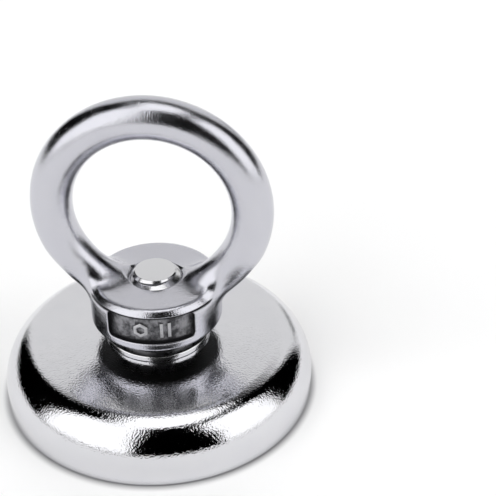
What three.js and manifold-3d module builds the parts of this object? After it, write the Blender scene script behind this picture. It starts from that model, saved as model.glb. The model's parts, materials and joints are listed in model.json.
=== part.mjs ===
// A pot magnet with an eye nut, for magnet fishing.
//
// A steel cup, open downwards and deeply rounded at its shoulder, holds a ring of
// neodymium-iron-boron set in resin. A countersunk hex-socket bolt comes up through the cup's
// crown. An eye nut is screwed down on it, over a plain washer and a split lock washer.
//
// Millimetres, +Z up. The origin is the centre of the cup's rim, on the surface it stands on.
// The hole of the eye runs along Y, and the nut's maker's panels face -Y and +Y.

import * as THREE from "three";
import { mergeVertices } from "three/addons/utils/BufferGeometryUtils.js";
import Module from "manifold-3d";

const wasm = await Module();
wasm.setup();

// ---------------------------------------------------------------- driving dimensions

const CUP_RADIUS = 18;
const CUP_HEIGHT = 7.25; // at the washers' seat, from where the crown falls a little to the shoulder
const SEAT_RADIUS = 6.3;
const CROWN_FALL = 0.33;
const UPPER_SHOULDER_RADIUS = 3.62;
const LOWER_SHOULDER_RADIUS = 5.26;
const SHOULDER_CHANGE = 49; // degrees above the horizontal where one shoulder arc takes over
const CUP_WALL = 2.6;
const CROWN_THICKNESS = 3.05;
const RIM_CHAMFER = 0.3;

const RESIN_WIDTH = 0.6; // between the magnet and the cup's wall
const RESIN_FILM = 0.2; // between the magnet and the crown
const RESIN_DISH = 0.35; // how far the poured resin stands back from the rim

const MAGNET_BORE_RADIUS = 6.5;
const MAGNET_RECESS = 0.1; // the magnet's face stands this far inside the rim
const MAGNET_CHAMFER = 0.25;

const THREAD_RADIUS = 2.95; // M6; the thread is a plain cylinder at its crests, in bolt and nut
const TAPPED_RADIUS = 3.02; // of the nut's hole, which runs on the bolt with 0.07 mm to spare
const CLEARANCE_HOLE_RADIUS = 3.2; // of the cup's crown and both washers

const BOLT_LENGTH = 12; // from the head's face to the tip, as a countersunk bolt is sold
const BOLT_TIP_PROUD = 0.75; // above the nut's collar
const BOLT_TIP_RADIUS = 2.27;
const BOLT_HEAD_RADIUS = 6;
const BOLT_HEAD_LAND = 0.15; // the head's short straight edge
const SOCKET_ACROSS_FLATS = 4;
const SOCKET_DEPTH = 2.2;

const PLAIN_WASHER_RADIUS = 6;
const PLAIN_WASHER_THICKNESS = 0.7;
const PLAIN_WASHER_CHAMFER = 0.15;
const LOCK_WASHER_RADIUS = 5.05;
const LOCK_WASHER_THICKNESS = 1.85;
const LOCK_WASHER_SPLIT = 0.6; // the width of its slanting cut
const LOCK_WASHER_SPLIT_AT = 150; // degrees round from +X, at the back of the object
const LOCK_WASHER_SLANT = 22; // degrees from upright

const COLLAR_RADIUS = 7.5;
const COLLAR_HEIGHT = 5.2;
const COLLAR_BEVEL_WIDTH = 0.75; // of the bevel round the collar's top
const COLLAR_BEVEL_DROP = 0.8;
const COLLAR_BEVEL_ROUND = 0.4; // how far each of the bevel's edges is softened
const COLLAR_FOOT_CHAMFER = 0.4;
const TAPPED_MOUTH_RADIUS = 3.4; // where the hole's countersunk mouths meet the faces

const EYE_MEAN_RADIUS = 11;
const EYE_WIRE_RADIUS = 2.3;

const PANEL_DEPTH = 0.45;
const PANEL_HEIGHT = 3.35;
const PANEL_ABOVE_FOOT = 1.05;
const PANEL_HALF_ANGLE = 40; // degrees either side of the panel's middle
const FRONT_PANEL_TURN = 3; // degrees by which the casting's front panel sits off the eye's axis
const MARK_RELIEF = 0.25; // how far the raised marks stand off the panel's floor
const MARK_HEIGHT = 1.9;
const MARK_STROKE = 0.4;

const SEAT_GAP = 0.05; // between faces that touch on the real object

// ---------------------------------------------------------------- derived places

const crownInside = CUP_HEIGHT - CROWN_THICKNESS;
const cavityRadius = CUP_RADIUS - CUP_WALL;
const magnetRadius = cavityRadius - RESIN_WIDTH;
const magnetTop = crownInside - RESIN_FILM;

const plainWasherFoot = CUP_HEIGHT + SEAT_GAP;
const plainWasherTop = CUP_HEIGHT + PLAIN_WASHER_THICKNESS;
const lockWasherFoot = plainWasherTop + SEAT_GAP;
const lockWasherTop = plainWasherTop + LOCK_WASHER_THICKNESS;
const collarFoot = lockWasherTop + SEAT_GAP;
const collarTop = lockWasherTop + COLLAR_HEIGHT;

// The eye's inner circle touches the plane of the collar's top.
const eyeCentre = collarTop + EYE_MEAN_RADIUS - EYE_WIRE_RADIUS;

const boltTip = collarTop + BOLT_TIP_PROUD;
const boltHeadFace = boltTip - BOLT_LENGTH;
const boltConeFoot = boltHeadFace + BOLT_HEAD_LAND;
const boltConeTop = boltConeFoot + BOLT_HEAD_RADIUS - THREAD_RADIUS; // a 90 degree cone

// ---------------------------------------------------------------- facets

const ROUND = 56; // sides of the cup, the magnet and the resin
const SMALL_ROUND = 40; // sides of the collar, the bolt and the washers
const EYE_STEPS = 52;
const WIRE_SIDES = 16;
const SHOULDER_STEPS = 4; // of each of the shoulder's arcs
const PANEL_STEPS = 10;

// ---------------------------------------------------------------- materials

const nickelPlate = new THREE.MeshStandardMaterial({ color: 0xd3d3d6, metalness: 1, roughness: 0.16 });
const magnetNickel = new THREE.MeshStandardMaterial({ color: 0xc4c3c0, metalness: 1, roughness: 0.28 });
const castStainless = new THREE.MeshStandardMaterial({ color: 0xc6c5cc, metalness: 1, roughness: 0.24 });
const fastenerSteel = new THREE.MeshStandardMaterial({ color: 0xcacacc, metalness: 1, roughness: 0.2 });
const pottingResin = new THREE.MeshStandardMaterial({ color: 0x1d1e20, metalness: 0, roughness: 0.45 });

// ---------------------------------------------------------------- shapes

const radians = THREE.MathUtils.degToRad;

// A solid turned about Z from its closed outline of [radius, height] points, which runs up the
// outside and down the inside.
function turned(outline, sides) {
  const points = [...outline, outline[0]].map(([r, z]) => new THREE.Vector2(r, z));
  return new THREE.LatheGeometry(points, sides).rotateX(Math.PI / 2);
}

// Outline points on an arc about [r, z], from one angle to another in degrees above the horizontal.
function arc([r, z], radius, from, to, steps) {
  return Array.from({ length: steps + 1 }, (_, i) => {
    const angle = radians(from + ((to - from) * i) / steps);
    return [r + radius * Math.cos(angle), z + radius * Math.sin(angle)];
  });
}

function solidOf(geometry) {
  const loose = geometry.index ? geometry.toNonIndexed() : geometry.clone();
  loose.deleteAttribute("normal");
  loose.deleteAttribute("uv");
  const merged = mergeVertices(loose, 1e-4);
  return new wasm.Manifold(
    new wasm.Mesh({
      numProp: 3,
      vertProperties: merged.attributes.position.array,
      triVerts: new Uint32Array(merged.index.array),
    }),
  );
}

function geometryOf(solid) {
  const mesh = solid.getMesh();
  return new THREE.BufferGeometry()
    .setAttribute("position", new THREE.BufferAttribute(mesh.vertProperties, 3))
    .setIndex(new THREE.BufferAttribute(mesh.triVerts, 1));
}

// ---------------------------------------------------------------- magnet base

// The shoulder's two arcs share a point, and the upper one ends level at the crown's edge.
function cup() {
  const turn = radians(SHOULDER_CHANGE);
  const upperCentre = [
    CUP_RADIUS - LOWER_SHOULDER_RADIUS + (LOWER_SHOULDER_RADIUS - UPPER_SHOULDER_RADIUS) * Math.cos(turn),
    CUP_HEIGHT - CROWN_FALL - UPPER_SHOULDER_RADIUS,
  ];
  const lowerCentre = [
    CUP_RADIUS - LOWER_SHOULDER_RADIUS,
    upperCentre[1] - (LOWER_SHOULDER_RADIUS - UPPER_SHOULDER_RADIUS) * Math.sin(turn),
  ];
  const sinkFoot = BOLT_HEAD_RADIUS + SEAT_GAP * Math.SQRT2 - (crownInside - boltConeFoot);
  return turned(
    [
      [cavityRadius, 0],
      [CUP_RADIUS - RIM_CHAMFER, 0],
      [CUP_RADIUS, RIM_CHAMFER],
      ...arc(lowerCentre, LOWER_SHOULDER_RADIUS, 0, SHOULDER_CHANGE, SHOULDER_STEPS),
      ...arc(upperCentre, UPPER_SHOULDER_RADIUS, SHOULDER_CHANGE, 90, SHOULDER_STEPS).slice(1),
      [SEAT_RADIUS, CUP_HEIGHT],
      [CLEARANCE_HOLE_RADIUS, CUP_HEIGHT],
      [CLEARANCE_HOLE_RADIUS, crownInside + sinkFoot - CLEARANCE_HOLE_RADIUS],
      [sinkFoot, crownInside],
      [cavityRadius, crownInside],
    ],
    ROUND,
  );
}

function ringMagnet() {
  const foot = MAGNET_RECESS;
  return turned(
    [
      [MAGNET_BORE_RADIUS + MAGNET_CHAMFER, foot],
      [magnetRadius - MAGNET_CHAMFER, foot],
      [magnetRadius, foot + MAGNET_CHAMFER],
      [magnetRadius, magnetTop],
      [MAGNET_BORE_RADIUS, magnetTop],
      [MAGNET_BORE_RADIUS, foot + MAGNET_CHAMFER],
    ],
    ROUND,
  );
}

// The resin fills the gap round the magnet, and a film of it lies between magnet and crown.
function resinFill() {
  const inner = magnetRadius + SEAT_GAP;
  const outer = cavityRadius - SEAT_GAP;
  const filmFoot = magnetTop + SEAT_GAP;
  const filmTop = crownInside - SEAT_GAP;
  return turned(
    [
      [inner, RESIN_DISH],
      [outer, RESIN_DISH],
      [outer, filmTop],
      [MAGNET_BORE_RADIUS, filmTop],
      [MAGNET_BORE_RADIUS, filmFoot],
      [inner, filmFoot],
    ],
    ROUND,
  );
}

// ---------------------------------------------------------------- bolt and washers

function boltBlank() {
  return turned(
    [
      [0, boltHeadFace],
      [BOLT_HEAD_RADIUS - BOLT_HEAD_LAND, boltHeadFace],
      [BOLT_HEAD_RADIUS, boltConeFoot],
      [THREAD_RADIUS, boltConeTop],
      [THREAD_RADIUS, boltTip - (THREAD_RADIUS - BOLT_TIP_RADIUS)],
      [BOLT_TIP_RADIUS, boltTip],
      [0, boltTip],
    ],
    SMALL_ROUND,
  );
}

function hexSocket() {
  const corner = SOCKET_ACROSS_FLATS / Math.sqrt(3);
  const hex = new THREE.CylinderGeometry(corner, corner, 2 * SOCKET_DEPTH, 6);
  return hex.rotateX(Math.PI / 2).translate(0, 0, boltHeadFace);
}

function countersunkBolt() {
  return geometryOf(solidOf(boltBlank()).subtract(solidOf(hexSocket())));
}

function plainWasher() {
  return turned(
    [
      [CLEARANCE_HOLE_RADIUS, plainWasherFoot],
      [PLAIN_WASHER_RADIUS, plainWasherFoot],
      [PLAIN_WASHER_RADIUS, plainWasherTop - PLAIN_WASHER_CHAMFER],
      [PLAIN_WASHER_RADIUS - PLAIN_WASHER_CHAMFER, plainWasherTop],
      [CLEARANCE_HOLE_RADIUS, plainWasherTop],
    ],
    SMALL_ROUND,
  );
}

function lockWasher() {
  const ring = turned(
    [
      [CLEARANCE_HOLE_RADIUS, lockWasherFoot],
      [LOCK_WASHER_RADIUS, lockWasherFoot],
      [LOCK_WASHER_RADIUS, lockWasherTop],
      [CLEARANCE_HOLE_RADIUS, lockWasherTop],
    ],
    SMALL_ROUND,
  );
  const cut = new THREE.BoxGeometry(LOCK_WASHER_RADIUS, LOCK_WASHER_SPLIT, 3 * LOCK_WASHER_THICKNESS);
  cut.rotateX(radians(LOCK_WASHER_SLANT));
  cut.translate((CLEARANCE_HOLE_RADIUS + LOCK_WASHER_RADIUS) / 2, 0, (lockWasherFoot + lockWasherTop) / 2);
  cut.rotateZ(radians(LOCK_WASHER_SPLIT_AT));
  return geometryOf(solidOf(ring).subtract(solidOf(cut)));
}

// ---------------------------------------------------------------- eye nut

function collar() {
  const slant = COLLAR_BEVEL_ROUND / Math.hypot(COLLAR_BEVEL_WIDTH, COLLAR_BEVEL_DROP);
  const flatRadius = COLLAR_RADIUS - COLLAR_BEVEL_WIDTH;
  return turned(
    [
      [0, collarFoot],
      [COLLAR_RADIUS - COLLAR_FOOT_CHAMFER, collarFoot],
      [COLLAR_RADIUS, collarFoot + COLLAR_FOOT_CHAMFER],
      [COLLAR_RADIUS, collarTop - COLLAR_BEVEL_DROP - COLLAR_BEVEL_ROUND],
      [COLLAR_RADIUS - slant * COLLAR_BEVEL_WIDTH, collarTop - (1 - slant) * COLLAR_BEVEL_DROP],
      [flatRadius + slant * COLLAR_BEVEL_WIDTH, collarTop - slant * COLLAR_BEVEL_DROP],
      [flatRadius - COLLAR_BEVEL_ROUND, collarTop],
      [0, collarTop],
    ],
    SMALL_ROUND,
  );
}

function eye() {
  const ring = new THREE.TorusGeometry(EYE_MEAN_RADIUS, EYE_WIRE_RADIUS, WIRE_SIDES, EYE_STEPS);
  return ring.rotateX(Math.PI / 2).translate(0, 0, eyeCentre);
}

// What is drilled and countersunk out of the collar: a hole with a 45 degree mouth at each end.
function tappedHole() {
  const mouthDepth = TAPPED_MOUTH_RADIUS - TAPPED_RADIUS;
  const past = 1;
  return turned(
    [
      [0, collarFoot - past],
      [TAPPED_MOUTH_RADIUS + past, collarFoot - past],
      [TAPPED_RADIUS, collarFoot + mouthDepth],
      [TAPPED_RADIUS, collarTop - mouthDepth],
      [TAPPED_MOUTH_RADIUS + past, collarTop + past],
      [0, collarTop + past],
    ],
    SMALL_ROUND,
  );
}

const panelFloor = COLLAR_RADIUS - PANEL_DEPTH;
const panelMiddle = collarFoot + PANEL_ABOVE_FOOT + PANEL_HEIGHT / 2;

// The hollow of a panel that faces +X: a curved block that takes PANEL_DEPTH off the collar.
function panelHollow() {
  const half = radians(PANEL_HALF_ANGLE);
  const block = new THREE.Shape();
  block.absarc(0, 0, COLLAR_RADIUS + 1, -half, half, false);
  block.absarc(0, 0, panelFloor, half, -half, true);
  const hollow = new THREE.ExtrudeGeometry(block, { depth: PANEL_HEIGHT, bevelEnabled: false, curveSegments: PANEL_STEPS });
  return hollow.translate(0, 0, panelMiddle - PANEL_HEIGHT / 2);
}

// A mark's outline in the plane of the panel becomes a stub that reaches out from inside the collar.
function stub(outline) {
  const depth = 3;
  const mark = new THREE.ExtrudeGeometry(outline, { depth, bevelEnabled: false, curveSegments: 8 });
  return mark.rotateX(Math.PI / 2).rotateZ(Math.PI / 2).translate(COLLAR_RADIUS - depth, 0, panelMiddle);
}

function bar(x) {
  const [w, h] = [MARK_STROKE / 2, MARK_HEIGHT / 2];
  return new THREE.Shape([
    new THREE.Vector2(x - w, -h),
    new THREE.Vector2(x + w, -h),
    new THREE.Vector2(x + w, h),
    new THREE.Vector2(x - w, h),
  ]);
}

function hexagon(x, radius) {
  return Array.from({ length: 6 }, (_, i) => {
    const angle = radians(30 + 60 * i);
    return new THREE.Vector2(x + radius * Math.cos(angle), radius * Math.sin(angle));
  });
}

function hexagonRing(x) {
  const ring = new THREE.Shape(hexagon(x, MARK_HEIGHT / 2));
  ring.holes.push(new THREE.Path(hexagon(x, MARK_HEIGHT / 2 - MARK_STROKE)));
  return ring;
}

function pip(x) {
  return new THREE.Shape().absarc(x, 0, 1.5 * MARK_STROKE, 0, 2 * Math.PI, false);
}

// Marks that say nothing: a nut's hexagon and two bars on one side, three pips on the other.
const FRONT_MARKS = [hexagonRing(-1.1), bar(1.3), bar(2.2)];
const BACK_MARKS = [pip(-2.1), pip(0), pip(2.1)];

// The marks of one panel, trimmed to stand MARK_RELIEF off its curved floor.
function raisedMarks(outlines) {
  const face = panelFloor + MARK_RELIEF;
  const trim = new THREE.CylinderGeometry(face, face, PANEL_HEIGHT, 2 * SMALL_ROUND);
  const drum = solidOf(trim.rotateX(Math.PI / 2).translate(0, 0, panelMiddle));
  return outlines.map((outline) => solidOf(stub(outline)).intersect(drum)).reduce((a, b) => a.add(b));
}

function eyeNut() {
  let nut = solidOf(collar()).add(solidOf(eye()));
  for (const [marks, facing] of [[FRONT_MARKS, FRONT_PANEL_TURN - 90], [BACK_MARKS, 90]]) {
    const hollow = solidOf(panelHollow().rotateZ(radians(facing)));
    nut = nut.subtract(hollow).add(raisedMarks(marks).rotate([0, 0, facing]));
  }
  return geometryOf(nut.subtract(solidOf(tappedHole())));
}

// ---------------------------------------------------------------- the assembly

const magnet = new THREE.Group();

function place(name, geometry, material) {
  const mesh = new THREE.Mesh(geometry, material);
  mesh.name = name;
  magnet.add(mesh);
}

place("cup", cup(), nickelPlate);
place("ring_magnet", ringMagnet(), magnetNickel);
place("resin_fill", resinFill(), pottingResin);
place("countersunk_bolt", countersunkBolt(), fastenerSteel);
place("plain_washer", plainWasher(), fastenerSteel);
place("lock_washer", lockWasher(), fastenerSteel);
place("eye_nut", eyeNut(), castStainless);

export default magnet;
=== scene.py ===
"""A pot magnet with an eye nut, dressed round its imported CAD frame.

Every piece is shaped in millimetres, with +Z up and its place already in its mesh, and then
brought to metres as it is finished. Sizes come from the boxes of the CAD nodes where a node
shows them, and from the named values below where it doesn't.
"""

import json
import math

import bmesh
import bpy
from mathutils import Matrix, Vector

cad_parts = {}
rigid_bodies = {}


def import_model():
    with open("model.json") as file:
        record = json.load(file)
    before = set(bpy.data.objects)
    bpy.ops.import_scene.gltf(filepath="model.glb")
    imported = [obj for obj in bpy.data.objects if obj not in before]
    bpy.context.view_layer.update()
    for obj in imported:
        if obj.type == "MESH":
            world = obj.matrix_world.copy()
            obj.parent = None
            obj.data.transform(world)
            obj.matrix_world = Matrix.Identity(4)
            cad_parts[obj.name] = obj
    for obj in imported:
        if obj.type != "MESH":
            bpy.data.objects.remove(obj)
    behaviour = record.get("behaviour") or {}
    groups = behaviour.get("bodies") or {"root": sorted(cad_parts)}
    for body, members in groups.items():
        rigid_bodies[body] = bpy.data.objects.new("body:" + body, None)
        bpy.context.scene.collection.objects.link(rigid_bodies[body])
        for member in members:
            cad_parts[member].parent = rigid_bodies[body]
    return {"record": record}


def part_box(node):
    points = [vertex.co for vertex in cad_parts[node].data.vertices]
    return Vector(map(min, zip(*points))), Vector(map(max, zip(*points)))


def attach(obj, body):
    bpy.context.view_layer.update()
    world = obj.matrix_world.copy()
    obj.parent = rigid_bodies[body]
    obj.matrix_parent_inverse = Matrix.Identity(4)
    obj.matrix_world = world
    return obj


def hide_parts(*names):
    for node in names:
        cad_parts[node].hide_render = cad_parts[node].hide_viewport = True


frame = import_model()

MM = 0.001
FULL_TURN = 2 * math.pi

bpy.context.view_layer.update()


def node_box(node):
    """The lowest and highest corner of a CAD node, in millimetres."""
    low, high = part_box(node)
    return Vector(low) / MM, Vector(high) / MM


# ------------------------------------------------------------------ sizes, in millimetres

CUP_HIGH = node_box("cup")[1]
MAGNET_LOW, MAGNET_HIGH = node_box("ring_magnet")
RESIN_LOW, RESIN_HIGH = node_box("resin_fill")
BOLT_LOW, BOLT_HIGH = node_box("countersunk_bolt")
WASHER_LOW, WASHER_HIGH = node_box("plain_washer")
SPRING_LOW, SPRING_HIGH = node_box("lock_washer")
NUT_LOW, NUT_HIGH = node_box("eye_nut")

CUP_RADIUS = CUP_HIGH.x
CUP_TOP = CUP_HIGH.z
CROWN_SEAT_RADIUS = 6.3
CROWN_FALL = 0.33
UPPER_SHOULDER = (15.16, CUP_TOP - CROWN_FALL, 3.6)
LOWER_SHOULDER = (CUP_RADIUS, 4.46, 5.25)
CUP_CAVITY_RADIUS = RESIN_HIGH.x + 0.05
CROWN_INSIDE = RESIN_HIGH.z + 0.05

MAGNET_BORE_RADIUS = 6.5

HOLE_RADIUS = 3.2
THREAD_RADIUS = 2.95
THREAD_PITCH = 1.0
THREAD_DEPTH = 0.55
ROOT_RADIUS = THREAD_RADIUS - THREAD_DEPTH
TAPPED_MOUTH_RADIUS = 3.04
BOLT_HEAD_RADIUS = BOLT_HIGH.x
BOLT_TIP_RADIUS = 2.27
BOLT_HEAD_EDGE = 0.15
BOLT_HEAD_GAP = 0.07
SHANK_RADIUS = THREAD_RADIUS - 0.05
SOCKET_ACROSS_FLATS = 4.0
SOCKET_DEPTH = 2.2
SPLIT_WIDTH = 0.6
SPLIT_PLACE = math.radians(150)
SPLIT_SLANT = math.radians(22)

COLLAR_RADIUS = NUT_HIGH.y
COLLAR_FOOT = NUT_LOW.z
COLLAR_TOP = BOLT_HIGH.z - 0.75
COLLAR_BEVEL_WIDTH = 0.75
COLLAR_BEVEL_DROP = 0.8
EYE_FILLET = 2.3
SWELL_GRID = 0.18
FILLET_GRID = 0.145
VENT_RADIUS = 1.0
LEG_PASSES = 170
EYE_WIRE_RADIUS = 2.3
EYE_MEAN_RADIUS = NUT_HIGH.x - EYE_WIRE_RADIUS
EYE_CENTRE = NUT_HIGH.z - EYE_MEAN_RADIUS - EYE_WIRE_RADIUS

PANEL_DEPTH = 0.45
PANEL_HEIGHT = 3.35
PANEL_MIDDLE = COLLAR_FOOT + 1.05 + PANEL_HEIGHT / 2
PANEL_HALF_ANGLE = math.radians(40)
MARK_RELIEF = 0.25
MARK_HEIGHT = 1.9
MARK_STROKE = 0.4
FRONT_FACING = math.radians(-87)
BACK_FACING = math.radians(90)
FRONT_PANEL_SHIFT = 0.39

FLOOR_SIZE = 3.0
FLOOR_SHADE_REACH = 0.9

# ------------------------------------------------------------------ shaping


def rounded(corners, steps=8):
    """An outline's points from its corners [r, z, rounding], with each rounded corner as an arc."""
    points = []
    count = len(corners)
    for i, (r, z, radius) in enumerate(corners):
        corner = Vector((r, z))
        if not radius:
            points.append(corner)
            continue
        before = (Vector(corners[i - 1][:2]) - corner).normalized()
        after = (Vector(corners[(i + 1) % count][:2]) - corner).normalized()
        half = before.angle(after) / 2
        centre = corner + (before + after).normalized() * radius / math.sin(half)
        start = corner + before * radius / math.tan(half) - centre
        sweep = start.angle_signed(corner + after * radius / math.tan(half) - centre)
        for step in range(steps + 1):
            points.append(centre + Matrix.Rotation(-sweep * step / steps, 2) @ start)
    return points


def spun(outline, sides=192):
    """A closed solid turned about Z from its closed outline of (radius, height) points."""
    solid = bmesh.new()
    points = [solid.verts.new((r, 0, z)) for r, z in outline]
    edges = [solid.edges.new((a, b)) for a, b in zip(points, points[1:] + points[:1])]
    bmesh.ops.spin(
        solid,
        geom=points + edges,
        axis=(0, 0, 1),
        angle=FULL_TURN,
        steps=sides,
        use_merge=True,
    )
    bmesh.ops.remove_doubles(solid, verts=solid.verts, dist=1e-4)
    bmesh.ops.recalc_face_normals(solid, faces=solid.faces)
    return solid


def ring(mean_radius, wire_radius, sides=64, steps=224):
    """A round-section ring about Z."""
    solid = bmesh.new()
    circle = bmesh.ops.create_circle(solid, radius=wire_radius, segments=sides)
    upright = Matrix.Translation((mean_radius, 0, 0)) @ Matrix.Rotation(math.pi / 2, 4, "X")
    bmesh.ops.transform(solid, verts=circle["verts"], matrix=upright)
    bmesh.ops.spin(
        solid,
        geom=solid.verts[:] + solid.edges[:],
        axis=(0, 0, 1),
        angle=FULL_TURN,
        steps=steps,
        use_merge=True,
    )
    bmesh.ops.recalc_face_normals(solid, faces=solid.faces)
    return solid


def threaded_rod(foot, top, grow=0.0):
    """A right-hand threaded rod about Z, its ends cut square. grow makes it larger all over."""
    steps = 96
    crest, root = THREAD_RADIUS + grow, THREAD_RADIUS - THREAD_DEPTH + grow
    turn = [(crest, 0.0), (crest, 0.12), (root, 0.44), (root, 0.68)]
    first = math.floor(foot) - 2
    last = math.ceil(top) + 1
    solid = bmesh.new()
    points = [
        solid.verts.new((r, 0, (thread + z) * THREAD_PITCH))
        for thread in range(first, last)
        for r, z in turn
    ]
    for a, b in zip(points, points[1:]):
        solid.edges.new((a, b))
    bmesh.ops.spin(
        solid,
        geom=solid.verts[:] + solid.edges[:],
        axis=(0, 0, 1),
        dvec=(0, 0, THREAD_PITCH / steps),
        angle=FULL_TURN,
        steps=steps,
    )
    bmesh.ops.remove_doubles(solid, verts=solid.verts, dist=1e-4)
    for height, keeps_above in ((foot, True), (top, False)):
        cut = bmesh.ops.bisect_plane(
            solid,
            geom=solid.verts[:] + solid.edges[:] + solid.faces[:],
            dist=1e-5,
            plane_co=(0, 0, height),
            plane_no=(0, 0, 1),
            clear_inner=keeps_above,
            clear_outer=not keeps_above,
        )
        rim = [e for e in cut["geom_cut"] if isinstance(e, bmesh.types.BMEdge)]
        bmesh.ops.holes_fill(solid, edges=rim, sides=0)
    bmesh.ops.recalc_face_normals(solid, faces=solid.faces)
    return solid


def block(size, place):
    """A box of that size, put in place by a matrix."""
    solid = bmesh.new()
    bmesh.ops.create_cube(solid, size=1, matrix=place @ Matrix.Diagonal((*size, 1)))
    return solid


def prism(sides, radius, foot, top):
    """An upright prism about Z, with a corner on +Y."""
    solid = bmesh.new()
    bmesh.ops.create_cone(
        solid,
        cap_ends=True,
        segments=sides,
        radius1=radius,
        radius2=radius,
        depth=top - foot,
        matrix=Matrix.Translation((0, 0, (foot + top) / 2)),
    )
    return solid


def as_object(name, solid):
    """A bmesh becomes an object, still in millimetres."""
    mesh = bpy.data.meshes.new(name)
    solid.to_mesh(mesh)
    solid.free()
    piece = bpy.data.objects.new(name, mesh)
    bpy.context.scene.collection.objects.link(piece)
    return piece


def settle(piece):
    """Applies the piece's modifiers."""
    shape = piece.evaluated_get(bpy.context.evaluated_depsgraph_get())
    mesh = bpy.data.meshes.new_from_object(shape)
    piece.modifiers.clear()
    old, piece.data = piece.data, mesh
    bpy.data.meshes.remove(old)


def combine(piece, operation, tool):
    """Cuts the tool from the piece (DIFFERENCE), joins it (UNION) or keeps what they share."""
    other = as_object("tool", tool)
    step = piece.modifiers.new(operation, "BOOLEAN")
    step.operation = operation
    step.object = other
    step.solver = "MANIFOLD"
    settle(piece)
    mesh = other.data
    bpy.data.objects.remove(other)
    bpy.data.meshes.remove(mesh)


def finish_piece(piece, node, material, crease=32):
    """Scales a piece to metres, shades it and hands it to the frame in its CAD node's place."""
    mesh = piece.data
    mesh.transform(Matrix.Scale(MM, 4))
    mesh.materials.clear()
    mesh.materials.append(material)
    mesh.shade_smooth()
    mesh.set_sharp_from_angle(angle=math.radians(crease))
    normals = piece.modifiers.new("even flats", "WEIGHTED_NORMAL")
    normals.keep_sharp = True
    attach(piece, body_of_node(node))
    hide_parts(node)
    return piece


def body_of_node(node):
    """The body that a CAD node belongs to."""
    bodies = frame["record"]["behaviour"]["bodies"]
    return next(body for body, nodes in bodies.items() if node in nodes)


# ------------------------------------------------------------------ shader parts


def feed(tree, node, sockets):
    """Gives a node's sockets their values, or links other sockets to them."""
    for name, value in sockets.items():
        if isinstance(value, bpy.types.NodeSocket):
            tree.links.new(value, node.inputs[name])
        else:
            node.inputs[name].default_value = value


def add(tree, kind, sockets=None, **settings):
    """Adds a node, sets it up, and feeds its sockets with values or with other sockets."""
    node = tree.nodes.new(kind)
    for name, value in settings.items():
        setattr(node, name, value)
    feed(tree, node, sockets or {})
    return node


def math_node(tree, operation, a, b=0.0):
    return add(tree, "ShaderNodeMath", {0: a, 1: b}, operation=operation).outputs[0]


def blend_node(tree, amount, a, b):
    """A plain mix of two numbers."""
    return add(tree, "ShaderNodeMix", {"Factor": amount, 2: a, 3: b}, data_type="FLOAT").outputs[0]


def colour_node(tree, amount, a, b):
    """A plain mix of two colours."""
    sockets = {"Factor": amount, 6: a, 7: b}
    return add(tree, "ShaderNodeMix", sockets, data_type="RGBA").outputs[2]


def ramp_node(tree, value, low, high, to_low=0.0, to_high=1.0):
    """Maps low..high smoothly to to_low..to_high."""
    sockets = {"Value": value, 1: low, 2: high, 3: to_low, 4: to_high}
    return add(tree, "ShaderNodeMapRange", sockets, interpolation_type="SMOOTHSTEP").outputs[0]


def noise_node(tree, vector, size, detail=2.0, roughness=0.5):
    """Noise whose bumps are about that many of the vector's units across."""
    sockets = {"Vector": vector, "Scale": 1 / size, "Detail": detail, "Roughness": roughness}
    return add(tree, "ShaderNodeTexNoise", sockets).outputs["Fac"]


def new_group(name, inputs, outputs):
    """An empty node group with named inputs (name, kind, default) and outputs (name, kind)."""
    group = bpy.data.node_groups.new(name, "ShaderNodeTree")
    for label, kind, default in inputs:
        socket = group.interface.new_socket(label, in_out="INPUT", socket_type=kind)
        if default is not None:
            socket.default_value = default
    for label, kind in outputs:
        group.interface.new_socket(label, in_out="OUTPUT", socket_type=kind)
    return group, add(group, "NodeGroupInput").outputs, add(group, "NodeGroupOutput")


VECTOR, NUMBER = "NodeSocketVector", "NodeSocketFloat"


def grain_group():
    """Fine grain over slow waves: the surface of plated or polished metal, in millimetres."""
    group, inputs, end = new_group(
        "metal grain",
        [("Place", VECTOR, None), ("Grain", NUMBER, 0.2), ("Wave", NUMBER, 3.0), ("Waviness", NUMBER, 1.0)],
        [("Height", NUMBER), ("Cloud", NUMBER)],
    )
    fine = add(
        group,
        "ShaderNodeTexNoise",
        {
            "Vector": inputs["Place"],
            "Scale": math_node(group, "DIVIDE", 1.0, inputs["Grain"]),
            "Detail": 1.0,
        },
    ).outputs["Fac"]
    slow = add(
        group,
        "ShaderNodeTexNoise",
        {
            "Vector": inputs["Place"],
            "Scale": math_node(group, "DIVIDE", 1.0, inputs["Wave"]),
            "Detail": 2.0,
        },
    ).outputs["Fac"]
    height = math_node(group, "ADD", fine, math_node(group, "MULTIPLY", slow, inputs["Waviness"]))
    group.links.new(height, end.inputs["Height"])
    group.links.new(slow, end.inputs["Cloud"])
    return group


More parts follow.
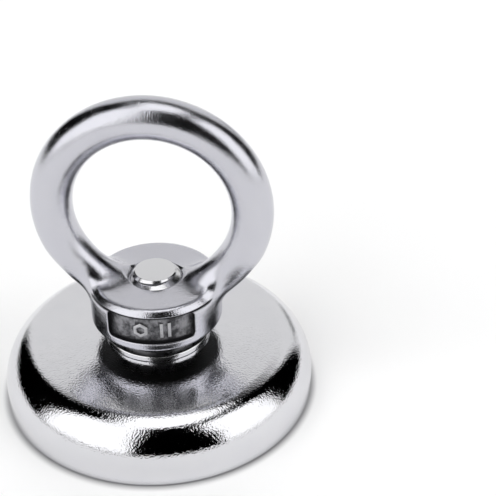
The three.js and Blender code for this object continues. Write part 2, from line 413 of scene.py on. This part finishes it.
def scratch_group():
    """Short, fine, straight scratches in several directions, as a mask."""
    group, inputs, end = new_group(
        "scratches",
        [("Place", VECTOR, None), ("Size", NUMBER, 2.0), ("Amount", NUMBER, 0.3)],
        [("Mask", NUMBER)],
    )
    layers = []
    for turn in (0.3, 1.25, 2.2):
        turned = {"Vector": inputs["Place"], "Rotation": (turn, 0.7 * turn, 1.9 * turn)}
        rotated = add(group, "ShaderNodeVectorRotate", turned, rotation_type="EULER_XYZ")
        stretched = add(
            group, "ShaderNodeVectorMath", {0: rotated.outputs[0], 1: (1.0, 14.0, 14.0)}, operation="MULTIPLY"
        ).outputs[0]
        scale = math_node(group, "DIVIDE", 1.0, inputs["Size"])
        noise = add(group, "ShaderNodeTexNoise", {"Vector": stretched, "Scale": scale, "Detail": 1.0})
        edge = math_node(group, "SUBTRACT", 0.78, math_node(group, "MULTIPLY", inputs["Amount"], 0.15))
        above = math_node(group, "SUBTRACT", noise.outputs["Fac"], edge)
        layers.append(math_node(group, "MULTIPLY", above, 12.0))
    total = math_node(group, "MAXIMUM", math_node(group, "MAXIMUM", layers[0], layers[1]), layers[2])
    clamped = add(group, "ShaderNodeClamp", {"Value": total}).outputs[0]
    group.links.new(clamped, end.inputs["Mask"])
    return group


GRAIN = grain_group()
SCRATCHES = scratch_group()


def new_material(name):
    """A material with a Principled shader, and the piece's place in millimetres."""
    material = bpy.data.materials.new(name)
    material.use_nodes = True
    tree = material.node_tree
    shader = tree.nodes["Principled BSDF"]
    metres = add(tree, "ShaderNodeTexCoord").outputs["Object"]
    place = add(tree, "ShaderNodeVectorMath", {0: metres, "Scale": 1 / MM}, operation="SCALE").outputs[0]
    return material, tree, shader, place


def bump(tree, height, distance, strength=1.0, normal=None):
    """A bump of that many millimetres for a height of 1."""
    sockets = {"Height": height, "Distance": distance * MM, "Strength": strength}
    if normal:
        sockets["Normal"] = normal
    return add(tree, "ShaderNodeBump", sockets).outputs[0]


def use_group(tree, group, sockets):
    """Places a node group, and gives its outputs."""
    node = tree.nodes.new("ShaderNodeGroup")
    node.node_tree = group
    feed(tree, node, sockets)
    return node.outputs


# ------------------------------------------------------------------ materials


def bright_nickel():
    """Bright nickel plating on steel: mirror-like, with a fine grain that frays reflections."""
    material, tree, shader, place = new_material("bright nickel")
    grain = use_group(tree, GRAIN, {"Place": place, "Grain": 0.2, "Wave": 2.5, "Waviness": 0.8})
    scratches = use_group(tree, SCRATCHES, {"Place": place, "Size": 2.5, "Amount": 0.2})["Mask"]
    cloud = grain["Cloud"]
    rough = ramp_node(tree, cloud, 0.3, 0.7, 0.05, 0.08)
    rough = math_node(tree, "ADD", rough, math_node(tree, "MULTIPLY", scratches, 0.1))
    colour = colour_node(tree, cloud, (0.68, 0.68, 0.71, 1), (0.72, 0.72, 0.74, 1))
    feed(tree, shader, {"Base Color": colour, "Metallic": 1.0, "Roughness": rough})
    feed(tree, shader, {"Normal": bump(tree, grain["Height"], 0.02)})
    return material


def cast_stainless():
    """The eye nut's polished casting, with panels and an underside that polishing hasn't reached, and painted
    shade: near-black on the panels' edges and walls, and on the underside under the collar.
    """
    material, tree, shader, place = new_material("cast stainless")
    x, y, z = add(tree, "ShaderNodeSeparateXYZ", {0: place}).outputs
    flat = add(tree, "ShaderNodeCombineXYZ", {"X": x, "Y": y}).outputs[0]
    out = add(tree, "ShaderNodeVectorMath", {0: flat}, operation="LENGTH").outputs["Value"]
    above = math_node(tree, "ABSOLUTE", math_node(tree, "SUBTRACT", z, PANEL_MIDDLE))
    sunk = ramp_node(tree, out, COLLAR_RADIUS - 0.1, COLLAR_RADIUS - 0.03, 1.0, 0.0)
    sunk = math_node(tree, "MULTIPLY", sunk, ramp_node(tree, above, 1.72, 1.8, 1.0, 0.0))
    shift = ramp_node(tree, y, -1, 1, -FRONT_PANEL_SHIFT, 0.0)
    along = math_node(tree, "ABSOLUTE", math_node(tree, "ADD", x, shift))
    # Painted shade: the pocket's floor is darkened towards its edges, and its walls are darkened too.
    corner = ramp_node(tree, above, 1.15, 1.6)
    corner = math_node(tree, "MAXIMUM", corner, ramp_node(tree, along, 3.6, 4.6))
    pocket_wall_shade = ramp_node(tree, out, COLLAR_RADIUS - 0.4, COLLAR_RADIUS - 0.3)
    corner = math_node(tree, "MAXIMUM", corner, pocket_wall_shade)
    worn = ramp_node(tree, out, COLLAR_RADIUS - 0.34, COLLAR_RADIUS - 0.22)
    worn = math_node(tree, "MULTIPLY", worn, ramp_node(tree, above, 1.0, 1.1, 1.0, 0.0))
    worn = math_node(tree, "MULTIPLY", worn, ramp_node(tree, along, 3.2, 3.4, 1.0, 0.0))
    # Painted shade: the collar's underside is painted near-black, and it is also left rough as unpolished
    # casting.
    rough_shaded_underside = ramp_node(tree, z, COLLAR_FOOT + 0.02, COLLAR_FOOT + 0.2, 1.0, 0.0)
    unpolished_and_shaded = math_node(tree, "MAXIMUM", sunk, rough_shaded_underside)
    grain = use_group(tree, GRAIN, {"Place": place, "Grain": 0.14, "Wave": 1.8, "Waviness": 1.5})
    scratches = use_group(tree, SCRATCHES, {"Place": place, "Size": 1.8, "Amount": 0.4})["Mask"]
    rough = ramp_node(tree, grain["Cloud"], 0.3, 0.7, 0.16, 0.23)
    rough = math_node(tree, "ADD", rough, math_node(tree, "MULTIPLY", scratches, 0.1))
    rough = blend_node(tree, unpolished_and_shaded, rough, 0.45)
    colour = colour_node(tree, grain["Cloud"], (0.55, 0.55, 0.60, 1), (0.61, 0.61, 0.65, 1))
    blotch = noise_node(tree, place, 1.1, detail=5.0, roughness=0.65)
    cast = ramp_node(tree, blotch, 0.35, 0.65)
    cast = colour_node(tree, cast, (0.07, 0.07, 0.075, 1), (0.36, 0.36, 0.38, 1))
    # Painted shade, near-black, in the pocket's edges and walls.
    cast = colour_node(tree, corner, cast, (0.02, 0.02, 0.022, 1))
    cast = colour_node(tree, worn, cast, (0.6, 0.6, 0.62, 1))
    # Painted shade under the collar.
    cast = colour_node(tree, rough_shaded_underside, cast, (0.03, 0.03, 0.03, 1))
    colour = colour_node(tree, unpolished_and_shaded, colour, cast)
    feed(tree, shader, {"Base Color": colour, "Metallic": 1.0, "Roughness": rough})
    pits = noise_node(tree, place, 0.22, detail=4.0)
    skin = bump(tree, math_node(tree, "MULTIPLY", pits, unpolished_and_shaded), 0.12)
    feed(tree, shader, {"Normal": bump(tree, grain["Height"], 0.018, normal=skin)})
    return material


def spring_steel():
    """The lock washer's spring steel, painted dark as the shade under the collar."""
    material, tree, shader, place = new_material("spring steel")
    grain = use_group(tree, GRAIN, {"Place": place, "Grain": 0.12, "Wave": 0.9, "Waviness": 1.0})
    rough = ramp_node(tree, grain["Cloud"], 0.3, 0.7, 0.22, 0.36)
    # Painted shade: the dark colour stands for the shade under the collar.
    colour = colour_node(tree, grain["Cloud"], (0.12, 0.12, 0.125, 1), (0.24, 0.24, 0.25, 1))
    feed(tree, shader, {"Base Color": colour, "Metallic": 1.0, "Roughness": rough})
    feed(tree, shader, {"Normal": bump(tree, grain["Height"], 0.01)})
    return material


def turned_steel():
    """Bright turned stainless steel, with a fine grain."""
    material, tree, shader, place = new_material("turned steel")
    grain = use_group(tree, GRAIN, {"Place": place, "Grain": 0.15, "Wave": 1.5, "Waviness": 0.5})
    rough = ramp_node(tree, grain["Cloud"], 0.3, 0.7, 0.12, 0.2)
    colour = colour_node(tree, grain["Cloud"], (0.66, 0.66, 0.68, 1), (0.72, 0.72, 0.73, 1))
    feed(tree, shader, {"Base Color": colour, "Metallic": 1.0, "Roughness": rough})
    feed(tree, shader, {"Normal": bump(tree, grain["Height"], 0.005)})
    return material


def satin_nickel():
    """The magnet's own satin nickel, scuffed by what it has pulled."""
    material, tree, shader, place = new_material("satin nickel")
    grain = use_group(tree, GRAIN, {"Place": place, "Grain": 0.2, "Wave": 3.0, "Waviness": 0.7})
    scratches = use_group(tree, SCRATCHES, {"Place": place, "Size": 3.0, "Amount": 0.8})["Mask"]
    rough = ramp_node(tree, grain["Cloud"], 0.3, 0.7, 0.24, 0.34)
    rough = math_node(tree, "ADD", rough, math_node(tree, "MULTIPLY", scratches, 0.15))
    colour = colour_node(tree, grain["Cloud"], (0.52, 0.51, 0.49, 1), (0.6, 0.59, 0.57, 1))
    feed(tree, shader, {"Base Color": colour, "Metallic": 1.0, "Roughness": rough})
    feed(tree, shader, {"Normal": bump(tree, grain["Height"], 0.006)})
    return material


def cured_resin():
    """Dark potting resin, glossy where it pooled and dull with fine dust."""
    material, tree, shader, place = new_material("cured resin")
    grain = use_group(tree, GRAIN, {"Place": place, "Grain": 0.3, "Wave": 1.2, "Waviness": 2.0})
    rough = ramp_node(tree, grain["Cloud"], 0.3, 0.7, 0.25, 0.55)
    colour = colour_node(tree, grain["Cloud"], (0.012, 0.012, 0.014, 1), (0.035, 0.034, 0.033, 1))
    feed(tree, shader, {"Base Color": colour, "Roughness": rough})
    feed(tree, shader, {"Normal": bump(tree, grain["Height"], 0.03)})
    return material


def pale_floor():
    """The floor: matt white, shaded in the narrow gap along the cup's edge."""
    material, tree, shader, place = new_material("pale floor")
    mottle = noise_node(tree, place, 40.0)
    colour = colour_node(tree, mottle, (0.93, 0.93, 0.93, 1), (0.95, 0.95, 0.95, 1))
    out = add(tree, "ShaderNodeVectorMath", {0: place}, operation="LENGTH").outputs["Value"]
    # Painted contact shadow: the floor is darkened in a narrow ring along the cup's edge.
    rim = ramp_node(tree, out, CUP_RADIUS - 0.3, CUP_RADIUS + FLOOR_SHADE_REACH, 1.0, 0.0)
    colour = colour_node(tree, rim, colour, (0.36, 0.36, 0.37, 1))
    feed(tree, shader, {"Base Color": colour, "Roughness": 0.9, "Specular IOR Level": 0.0})
    return material


# ------------------------------------------------------------------ pieces


def make_cup():
    sink = BOLT_HEAD_RADIUS + BOLT_HEAD_GAP - (CROWN_INSIDE - BOLT_LOW.z - BOLT_HEAD_EDGE)
    outline = rounded(
        [
            (CUP_CAVITY_RADIUS, 0, 0.15),
            (CUP_RADIUS, 0, 0.35),
            LOWER_SHOULDER,
            UPPER_SHOULDER,
            (CROWN_SEAT_RADIUS, CUP_TOP, 2.0),
            (HOLE_RADIUS, CUP_TOP, 0.1),
            (HOLE_RADIUS, CROWN_INSIDE + sink - HOLE_RADIUS, 0),
            (sink, CROWN_INSIDE, 0),
            (CUP_CAVITY_RADIUS, CROWN_INSIDE, 0),
        ],
        steps=24,
    )
    cup = as_object("cup_shell", spun(outline, sides=256))
    return finish_piece(cup, "cup", bright_nickel())


def make_magnet():
    outline = rounded(
        [
            (MAGNET_BORE_RADIUS, MAGNET_LOW.z, 0.3),
            (MAGNET_HIGH.x, MAGNET_LOW.z, 0.3),
            (MAGNET_HIGH.x, MAGNET_HIGH.z, 0),
            (MAGNET_BORE_RADIUS, MAGNET_HIGH.z, 0),
        ]
    )
    magnet = as_object("neodymium_ring", spun(outline))
    return finish_piece(magnet, "ring_magnet", satin_nickel())


def make_resin():
    gap = 0.05
    inner = MAGNET_HIGH.x + gap
    outer = RESIN_HIGH.x
    middle = (inner + outer) / 2
    film = MAGNET_HIGH.z + gap
    outline = rounded(
        [
            (inner, RESIN_LOW.z, 0),
            (middle, RESIN_LOW.z + 0.15, 0.25),
            (outer, RESIN_LOW.z, 0),
            (outer, RESIN_HIGH.z, 0),
            (MAGNET_BORE_RADIUS, RESIN_HIGH.z, 0),
            (MAGNET_BORE_RADIUS, film, 0),
            (inner, film, 0),
        ]
    )
    resin = as_object("potting", spun(outline))
    return finish_piece(resin, "resin_fill", cured_resin())


def make_bolt(steel):
    cone_foot = BOLT_LOW.z + BOLT_HEAD_EDGE
    cone_top = cone_foot + BOLT_HEAD_RADIUS - THREAD_RADIUS
    blank = rounded(
        [
            (0, BOLT_LOW.z, 0),
            (BOLT_HEAD_RADIUS, BOLT_LOW.z, 0.12),
            (BOLT_HEAD_RADIUS, cone_foot, 0.02),
            (SHANK_RADIUS, cone_top, 0.3),
            (SHANK_RADIUS, CUP_TOP, 0.05),
            (0, CUP_TOP, 0),
        ]
    )
    tip = rounded(
        [
            (0, BOLT_LOW.z, 0),
            (BOLT_HEAD_RADIUS + 1, BOLT_LOW.z - 1, 0),
            (BOLT_HEAD_RADIUS + 1, BOLT_HIGH.z - (BOLT_HEAD_RADIUS + 1 - BOLT_TIP_RADIUS), 0),
            (BOLT_TIP_RADIUS, BOLT_HIGH.z, 0.06),
            (0, BOLT_HIGH.z, 0),
        ]
    )
    bolt = as_object("socket_bolt", threaded_rod(CUP_TOP - 1.2, BOLT_HIGH.z + 0.5))
    combine(bolt, "INTERSECT", spun(tip, sides=96))
    combine(bolt, "UNION", spun(blank, sides=128))
    corner = SOCKET_ACROSS_FLATS / math.sqrt(3)
    combine(bolt, "DIFFERENCE", prism(6, corner, BOLT_LOW.z - 1, BOLT_LOW.z + SOCKET_DEPTH))
    return finish_piece(bolt, "countersunk_bolt", steel)


def make_plain_washer(steel):
    outline = rounded(
        [
            (HOLE_RADIUS, WASHER_LOW.z, 0),
            (WASHER_HIGH.x, WASHER_LOW.z, 0.05),
            (WASHER_HIGH.x, WASHER_HIGH.z, 0.18),
            (HOLE_RADIUS, WASHER_HIGH.z, 0.1),
        ]
    )
    washer = as_object("flat_washer", spun(outline, sides=160))
    return finish_piece(washer, "plain_washer", steel)


def make_lock_washer(steel):
    outline = rounded(
        [
            (HOLE_RADIUS, SPRING_LOW.z, 0.08),
            (SPRING_HIGH.x, SPRING_LOW.z, 0.08),
            (SPRING_HIGH.x, SPRING_HIGH.z, 0.08),
            (HOLE_RADIUS, SPRING_HIGH.z, 0.08),
        ],
        steps=4,
    )
    washer = as_object("spring_washer", spun(outline, sides=128))
    middle = (SPRING_LOW.z + SPRING_HIGH.z) / 2
    place = (
        Matrix.Rotation(SPLIT_PLACE, 4, "Z")
        @ Matrix.Translation(((HOLE_RADIUS + SPRING_HIGH.x) / 2, 0, middle))
        @ Matrix.Rotation(SPLIT_SLANT, 4, "X")
    )
    combine(washer, "DIFFERENCE", block((5, SPLIT_WIDTH, 4), place))
    return finish_piece(washer, "lock_washer", steel)


# ------------------------------------------------------------------ eye nut


def skin_at_depth(piece, depth, grid):
    """The surface that lies that deep inside a piece, measured on a grid of that size."""
    scene = bpy.context.scene.collection.objects
    field = bpy.data.objects.new("field", bpy.data.volumes.new("field"))
    scene.link(field)
    fill = field.modifiers.new("fill", "MESH_TO_VOLUME")
    fill.object = piece
    fill.resolution_mode = "VOXEL_SIZE"
    fill.voxel_size = grid
    fill.interior_band_width = 2 * depth
    fill.density = 1.0
    skin = bpy.data.objects.new("skin", bpy.data.meshes.new("skin"))
    scene.link(skin)
    wrap_up = skin.modifiers.new("wrap", "VOLUME_TO_MESH")
    wrap_up.object = field
    wrap_up.threshold = 0.5
    settle(skin)
    volume = field.data
    bpy.data.objects.remove(field)
    bpy.data.volumes.remove(volume)
    return skin


def filleted(piece, radius):
    """Fills a piece's inner corners as far as a ball of that radius can't reach into them.

    The block round the piece has a vent under the middle, because a closed hollow would count as
    solid. It leaves a stub of that size under the piece, which the piece's own hole takes away.
    """
    solid = bmesh.new()
    solid.from_mesh(piece.data)
    low = Vector([min(v.co[i] for v in solid.verts) for i in range(3)])
    high = Vector([max(v.co[i] for v in solid.verts) for i in range(3)])
    middle = (low + high) / 2
    half = (high - low) / 2
    margin = Vector((3 * radius, 3 * radius, 3 * radius))
    around = as_object("around", block(2 * (half + margin), Matrix.Translation(middle)))
    combine(around, "DIFFERENCE", solid)
    combine(around, "DIFFERENCE", prism(24, VENT_RADIUS, low.z - 2 * margin.z, low.z + 1.0))
    swollen = skin_at_depth(around, radius, SWELL_GRID)
    inner = bmesh.new()
    inner.from_mesh(swollen.data)
    past = half + margin / 2
    outer = [v for v in inner.verts if any(abs(v.co[i] - middle[i]) > past[i] for i in range(3))]
    bmesh.ops.delete(inner, geom=outer, context="VERTS")
    rim = [e for e in inner.edges if e.is_boundary]
    bmesh.ops.holes_fill(inner, edges=rim, sides=0)
    bmesh.ops.recalc_face_normals(inner, faces=inner.faces)
    inner.to_mesh(swollen.data)
    inner.free()
    filled = skin_at_depth(swollen, radius, FILLET_GRID)
    old, piece.data = piece.data, filled.data
    for spare in (around, swollen, filled):
        bpy.data.objects.remove(spare)
    bpy.data.meshes.remove(old)
    return piece


def smooth(piece, passes, share=lambda place: 1.0):
    """Evens out a piece's surface, by the share that each place asks for."""
    solid = bmesh.new()
    solid.from_mesh(piece.data)
    chosen = [(v, v.co.copy(), share(v.co)) for v in solid.verts]
    chosen = [(v, start, amount) for v, start, amount in chosen if amount > 0]
    moving = [v for v, start, amount in chosen]
    for _ in range(passes):
        bmesh.ops.smooth_vert(
            solid, verts=moving, factor=0.5, use_axis_x=True, use_axis_y=True, use_axis_z=True
        )
    for v, start, amount in chosen:
        v.co = start.lerp(v.co, amount)
    solid.to_mesh(piece.data)
    solid.free()


def eye_blank():
    """The ring and the solid collar, grown into one casting with fillets where they meet."""
    collar = rounded(
        [
            (0, COLLAR_FOOT, 0),
            (COLLAR_RADIUS, COLLAR_FOOT, 0.35),
            (COLLAR_RADIUS, COLLAR_TOP - COLLAR_BEVEL_DROP, 0.9),
            (COLLAR_RADIUS - COLLAR_BEVEL_WIDTH, COLLAR_TOP, 0.3),
            (0, COLLAR_TOP, 0),
        ]
    )
    blank = as_object("eye_casting", spun(collar, sides=160))
    eye = ring(EYE_MEAN_RADIUS, EYE_WIRE_RADIUS)
    upright = Matrix.Translation((0, 0, EYE_CENTRE)) @ Matrix.Rotation(math.pi / 2, 4, "X")
    bmesh.ops.transform(eye, verts=eye.verts, matrix=upright)
    combine(blank, "UNION", eye)
    filleted(blank, EYE_FILLET)
    smooth(blank, LEG_PASSES, share=near_a_leg)
    return blank


def fade(value, none, full):
    """0 at none and beyond, 1 at full and beyond, and smooth between them."""
    part = min(max((value - none) / (full - none), 0), 1)
    return part * part * (3 - 2 * part)


def near_a_leg(place):
    """How near a place is to where a leg of the ring runs into the collar, from 0 to 1."""
    out = math.hypot(place.x, place.y)
    above = fade(place.z, COLLAR_TOP + 4.0, COLLAR_TOP + 1.0)
    on_flat = fade(place.z, COLLAR_TOP - 0.1, COLLAR_TOP - 0.04)
    flat_radius = COLLAR_RADIUS - COLLAR_BEVEL_WIDTH
    on_flat *= fade(out, flat_radius - 0.2, flat_radius - 1.3)
    on_leg = fade(place.z, COLLAR_TOP + 0.2, COLLAR_TOP + 0.8)
    under_leg = fade(abs(place.y), 3.4, 2.2) * fade(abs(place.x), 4.8, 6.0)
    under_leg *= fade(place.z, COLLAR_TOP - 3.0, COLLAR_TOP - 1.8)
    return above * max(on_flat, on_leg, under_leg)


def bevel(solid, edges, offset, segments):
    """Rounds edges."""
    bmesh.ops.bevel(
        solid,
        geom=edges,
        offset=offset,
        segments=segments,
        profile=0.5,
        affect="EDGES",
        material=-1,
    )


def wrap(solid, facing):
    """Wraps a flat shape round the collar. Its X runs round the collar, and its Y points out."""
    for vertex in solid.verts:
        along, out, height = vertex.co
        angle = facing + along / COLLAR_RADIUS
        vertex.co = (out * math.cos(angle), out * math.sin(angle), height)


def panel_pocket(facing):
    """What a panel takes out of the collar: a shallow pocket with round corners and a soft rim."""
    floor = COLLAR_RADIUS - PANEL_DEPTH
    rim = COLLAR_RADIUS - 0.08
    half_width = COLLAR_RADIUS * PANEL_HALF_ANGLE
    half_height = PANEL_HEIGHT / 2
    pocket = block(
        (2 * half_width, rim - floor, 2 * half_height),
        Matrix.Translation((0, (rim + floor) / 2, PANEL_MIDDLE)),
    )
    corners = [e for e in pocket.edges if abs((e.verts[0].co - e.verts[1].co).y) > 0.01]
    bevel(pocket, corners, 0.6, 6)
    foot = [e for e in pocket.edges if all(v.co.y < floor + 0.01 for v in e.verts)]
    bevel(pocket, foot, 0.1, 3)
    mouth = max(pocket.faces, key=lambda face: face.calc_center_median().y)
    for rise, spread in ((0.04, 0.02), (0.04, 0.05), (0.1, 0.2)):
        grown = bmesh.ops.extrude_discrete_faces(pocket, faces=[mouth])
        mouth = grown["faces"][0]
        for vertex in mouth.verts:
            x, y, z = vertex.co
            wider = 1 + spread / half_width
            taller = 1 + spread / half_height
            vertex.co = (x * wider, y + rise, PANEL_MIDDLE + (z - PANEL_MIDDLE) * taller)
    for step in range(-20, 21):
        bmesh.ops.bisect_plane(
            pocket,
            geom=pocket.verts[:] + pocket.edges[:] + pocket.faces[:],
            dist=1e-5,
            plane_co=(half_width * step / 18, 0, 0),
            plane_no=(1, 0, 0),
        )
    wrap(pocket, facing)
    bmesh.ops.recalc_face_normals(pocket, faces=pocket.faces)
    return pocket


def raised(flat, facing):
    """A flat outline, in X and Z, becomes a low raised mark with soft edges on a panel's floor."""
    foot = COLLAR_RADIUS - PANEL_DEPTH - 0.3
    face = COLLAR_RADIUS - PANEL_DEPTH + MARK_RELIEF
    bmesh.ops.translate(flat, verts=flat.verts, vec=(0, foot, PANEL_MIDDLE))
    grown = bmesh.ops.extrude_face_region(flat, geom=flat.faces[:])
    tops = [v for v in grown["geom"] if isinstance(v, bmesh.types.BMVert)]
    bmesh.ops.translate(flat, verts=tops, vec=(0, face - foot, 0))
    bmesh.ops.recalc_face_normals(flat, faces=flat.faces)
    rim = [e for e in flat.edges if all(v.co.y > face - 0.01 for v in e.verts)]
    bevel(flat, rim, 0.1, 3)
    wrap(flat, facing)
    bmesh.ops.recalc_face_normals(flat, faces=flat.faces)
    return flat


def flat_outline(sides, radius, x, turn=0.0):
    """A flat polygon in X and Z."""
    outline = bmesh.new()
    place = Matrix.Translation((x, 0, 0)) @ Matrix.Rotation(math.pi / 2, 4, "X")
    place = place @ Matrix.Rotation(turn, 4, "Z")
    bmesh.ops.create_circle(outline, cap_ends=True, segments=sides, radius=radius, matrix=place)
    return outline


def hexagon_mark(x):
    outline = flat_outline(6, MARK_HEIGHT / 2, x)
    bmesh.ops.recalc_face_normals(outline, faces=outline.faces)
    middle = outline.faces[:]
    bmesh.ops.inset_region(
        outline, faces=middle, thickness=MARK_STROKE, use_even_offset=True, use_boundary=True
    )
    bmesh.ops.delete(outline, geom=middle, context="FACES")
    return outline


def bar_mark(x):
    outline = flat_outline(4, math.sqrt(0.5), x, math.pi / 4)
    stretch = Matrix.Diagonal((MARK_STROKE, 1, MARK_HEIGHT, 1))
    about = Matrix.Translation((x, 0, 0))
    bmesh.ops.transform(outline, verts=outline.verts, matrix=about @ stretch @ about.inverted())
    return outline


def pip_mark(x):
    return flat_outline(24, 1.5 * MARK_STROKE, x)


def tapped_hole():
    """What is taken out of the collar: the threaded hole, with a bevelled mouth at each end."""
    past = 1
    mouths = rounded(
        [
            (0, COLLAR_FOOT - past, 0),
            (TAPPED_MOUTH_RADIUS + past, COLLAR_FOOT - past, 0),
            (ROOT_RADIUS, COLLAR_FOOT + TAPPED_MOUTH_RADIUS - ROOT_RADIUS, 0),
            (ROOT_RADIUS, COLLAR_TOP - TAPPED_MOUTH_RADIUS + ROOT_RADIUS, 0),
            (TAPPED_MOUTH_RADIUS + past, COLLAR_TOP + past, 0),
            (0, COLLAR_TOP + past, 0),
        ]
    )
    hole = as_object("hole", threaded_rod(COLLAR_FOOT - past, COLLAR_TOP + 2 * past, grow=0.1))
    combine(hole, "UNION", spun(mouths, sides=96))
    solid = bmesh.new()
    solid.from_mesh(hole.data)
    bpy.data.objects.remove(hole)
    return solid


def make_eye_nut():
    nut = eye_blank()
    smooth(nut, 3)
    for facing, marks in (
        (FRONT_FACING, (hexagon_mark(-1.1), bar_mark(1.3), bar_mark(2.2))),
        (BACK_FACING, (pip_mark(-2.1), pip_mark(0), pip_mark(2.1))),
    ):
        combine(nut, "DIFFERENCE", panel_pocket(facing))
        for mark in marks:
            combine(nut, "UNION", raised(mark, facing))
    combine(nut, "DIFFERENCE", tapped_hole())
    nut.name = "eye_casting"
    return finish_piece(nut, "eye_nut", cast_stainless(), crease=40)


# ------------------------------------------------------------------ studio


def patch_group():
    """A soft-edged patch of sky, by its middle and half sizes in azimuth and elevation."""
    group, inputs, end = new_group(
        "light patch",
        [
            ("Direction", VECTOR, None),
            ("Azimuth", NUMBER, 0.0),
            ("Elevation", NUMBER, 0.0),
            ("Half Width", NUMBER, 10.0),
            ("Half Height", NUMBER, 10.0),
            ("Softness", NUMBER, 5.0),
        ],
        [("Mask", NUMBER)],
    )
    turn = math_node(group, "RADIANS", inputs["Azimuth"])
    sockets = {"Vector": inputs["Direction"], "Angle": turn}
    ahead = add(group, "ShaderNodeVectorRotate", sockets, rotation_type="Z_AXIS").outputs[0]
    x, y, z = add(group, "ShaderNodeSeparateXYZ", {0: ahead}).outputs
    azimuth = math_node(group, "DEGREES", math_node(group, "ARCTAN2", x, y))
    height = math_node(group, "DEGREES", math_node(group, "ARCSINE", z))
    elevation = math_node(group, "SUBTRACT", height, inputs["Elevation"])
    masks = []
    for angle, half in ((azimuth, inputs["Half Width"]), (elevation, inputs["Half Height"])):
        past = math_node(group, "SUBTRACT", math_node(group, "ABSOLUTE", angle), half)
        edge = math_node(group, "DIVIDE", past, inputs["Softness"])
        masks.append(ramp_node(group, edge, -0.5, 0.5, 1.0, 0.0))
    group.links.new(math_node(group, "MULTIPLY", *masks), end.inputs["Mask"])
    return group


# Azimuth clockwise from straight behind the magnet, elevation, half width and half height, all
# in degrees, softness, and brightness. Later ones cover earlier ones. Dull surfaces, such as the
# floor, get FLOOR_LIGHT times that light. The camera's own turn and dip are in degrees too.
SKY_PATCHES = [
    (0, 60, 180, 12, 16, 0.14),
    (0, 65, 180, 7, 5, 0.03),
    (189.5, 34, 138.5, 37, 4, 0.0),
    (0, 90, 180, 20, 5, 1.5),
    (190, 90, 140, 23, 5, 1.5),
    (-66, 66, 30, 8, 5, 0.0),
    (-124, 33, 33, 31, 5, 1.45),
    (-138, 58, 19, 11, 6, 1.45),
    (117, 25, 24, 24, 5, 1.45),
    (118, 43, 27, 9, 5, 1.45),
    (124, 51, 22, 7, 6, 1.45),
    (35, 4, 8, 8, 6, 0.35),
]
SKY_BRIGHTNESS = 0.88
FLOOR_LIGHT = 1.9
CAMERA_AZIMUTH = -10.3
CAMERA_PLACE = Vector((18.17, -99.59, 85.17)) * MM
CAMERA_DIP = 33.458
CAMERA_TURN = 4.414
CAMERA_LENS = 78.92


def make_sky(camera_azimuth):
    """Soft white light all round, brighter in the softboxes and dark in the gaps between them."""
    world = bpy.data.worlds.new("studio")
    world.use_nodes = True
    tree = world.node_tree
    tree.nodes.clear()
    direction = add(tree, "ShaderNodeTexCoord").outputs["Generated"]
    patch = patch_group()
    light = SKY_BRIGHTNESS
    for azimuth, elevation, half_width, half_height, softness, brightness in SKY_PATCHES:
        sockets = {
            "Direction": direction,
            "Azimuth": azimuth + camera_azimuth,
            "Elevation": elevation,
            "Half Width": half_width,
            "Half Height": half_height,
            "Softness": softness,
        }
        light = blend_node(tree, use_group(tree, patch, sockets)["Mask"], light, brightness)
    path = add(tree, "ShaderNodeLightPath").outputs
    brighter = math_node(tree, "MULTIPLY", light, FLOOR_LIGHT)
    light = blend_node(tree, path["Is Diffuse Ray"], light, brighter)
    light = blend_node(tree, path["Is Camera Ray"], light, 1.0)
    shine = add(tree, "ShaderNodeBackground", {"Color": (1, 1, 1, 1), "Strength": light})
    add(tree, "ShaderNodeOutputWorld", {"Surface": shine.outputs[0]})
    bpy.context.scene.world = world


def make_floor():
    solid = bmesh.new()
    bmesh.ops.create_grid(solid, x_segments=1, y_segments=1, size=FLOOR_SIZE)
    floor = as_object("floor", solid)
    floor.data.materials.append(pale_floor())


def make_camera():
    """Looks down on the magnet from the front, a little to its right."""
    data = bpy.data.cameras.new("camera")
    data.sensor_width = 36.0
    data.lens = CAMERA_LENS
    camera = bpy.data.objects.new("camera", data)
    bpy.context.scene.collection.objects.link(camera)
    camera.location = CAMERA_PLACE
    camera.rotation_euler = (math.radians(90 - CAMERA_DIP), 0, math.radians(CAMERA_TURN))
    bpy.context.scene.camera = camera


make_camera()
make_sky(CAMERA_AZIMUTH)
make_floor()
steel = turned_steel()
make_cup()
make_magnet()
make_resin()
make_bolt(steel)
make_plain_washer(steel)
make_lock_washer(spring_steel())
make_eye_nut()

bpy.context.scene.view_settings.view_transform = "Standard"
